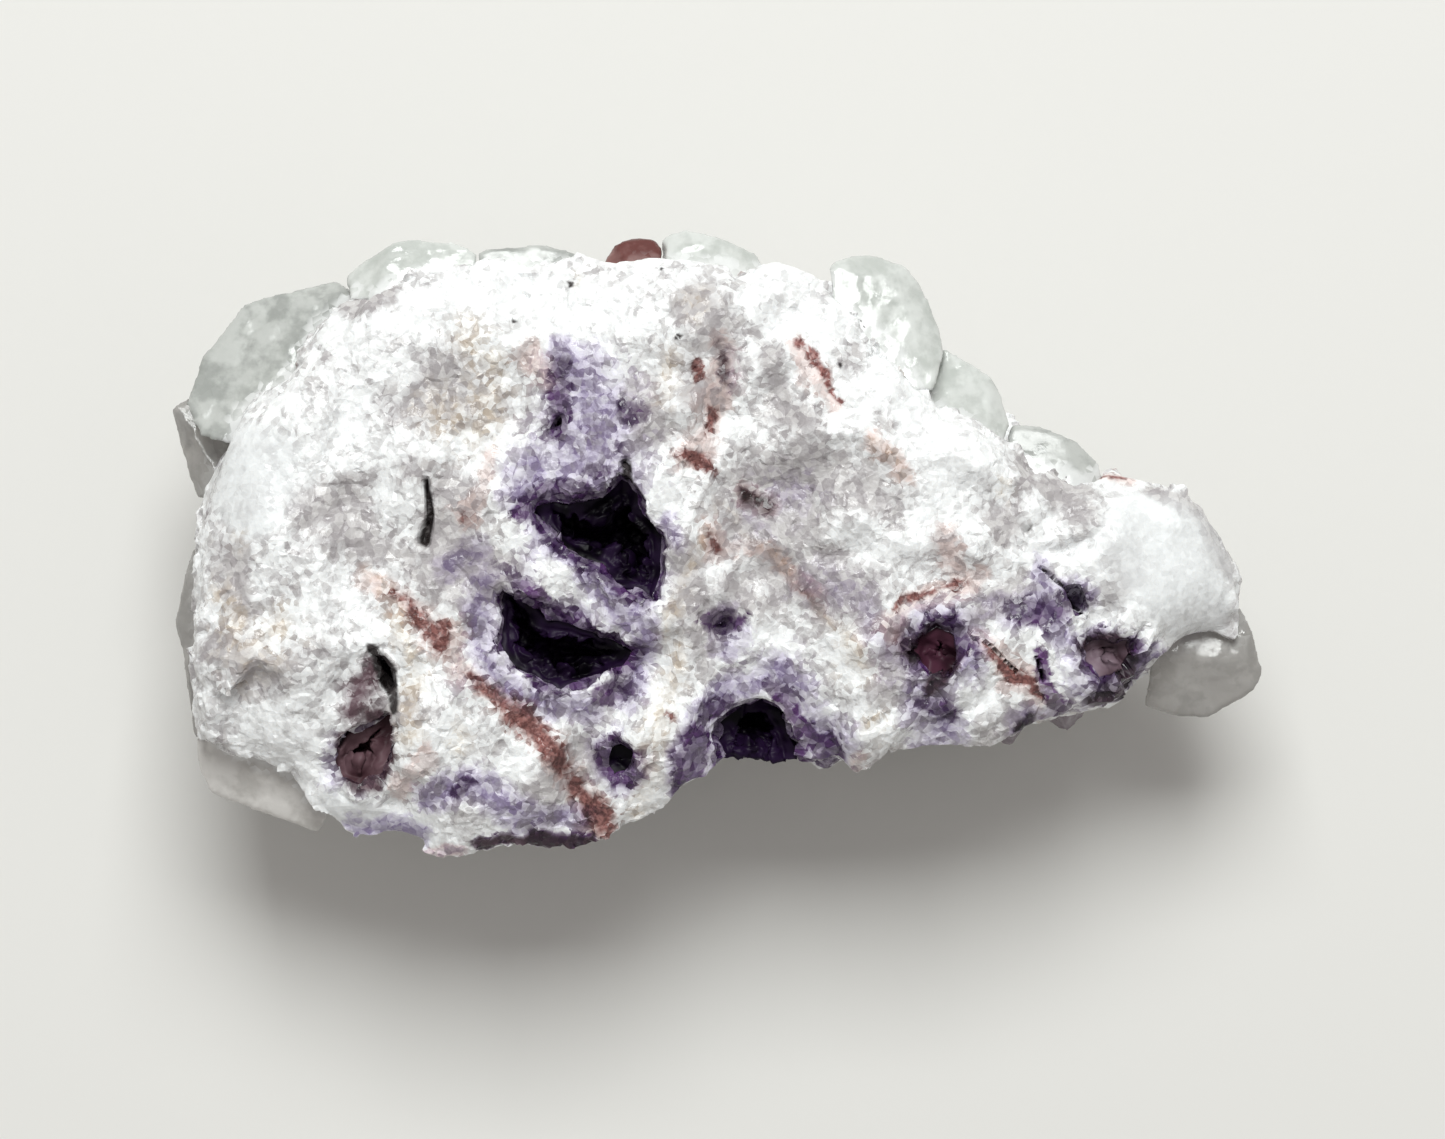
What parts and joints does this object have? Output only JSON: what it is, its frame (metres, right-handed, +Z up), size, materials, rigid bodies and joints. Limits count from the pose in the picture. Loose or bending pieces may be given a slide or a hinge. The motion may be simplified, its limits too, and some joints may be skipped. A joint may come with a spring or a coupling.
{
  "type": "amethyst crystal specimen",
  "caption": "Lump of granular white quartz with a broken upper face, amethyst-lined hollows and glassy quartz crystals round its sides.",
  "frame": {"origin": "on the surface the specimen rests on, under the centre of its bounding box", "axes": "+X along its length towards the narrow end, +Y across it towards the side without the notch, +Z up out of the broken face"},
  "size_m": [0.082, 0.0466, 0.0281],
  "materials": {
    "granular_quartz": "sugary, translucent white",
    "glassy_quartz": "clear to smoky crystal faces",
    "stained_quartz": "crystal faces stained by iron oxide",
    "amethyst": "dark violet crystal points"
  },
  "bodies": {
    "root": {"quartz_matrix": "granular_quartz", "amethyst_upper_hollow": "amethyst", "amethyst_lower_hollow": "amethyst", "amethyst_notch": "amethyst", "amethyst_left_pocket": "amethyst", "amethyst_right_pocket": "amethyst", "amethyst_far_right_pocket": "amethyst", "amethyst_small_hollow": "amethyst", "quartz_upper_left": "glassy_quartz", "quartz_top_left_rim": "glassy_quartz", "quartz_top_middle_rim": "glassy_quartz", "quartz_stained_red": "stained_quartz", "quartz_top_hump": "glassy_quartz", "quartz_far_left_side": "glassy_quartz", "quartz_far_side": "glassy_quartz", "quartz_upper_right": "glassy_quartz", "quartz_right_shelf": "glassy_quartz", "quartz_right_ledge": "glassy_quartz", "quartz_far_right_side": "glassy_quartz", "quartz_left_tip": "glassy_quartz", "quartz_left_end": "glassy_quartz", "quartz_lower_left": "glassy_quartz", "quartz_lower_right": "glassy_quartz", "quartz_lower_right_rim": "glassy_quartz", "quartz_near_side": "glassy_quartz", "quartz_near_right_side": "glassy_quartz"}
  },
  "joints": []
}
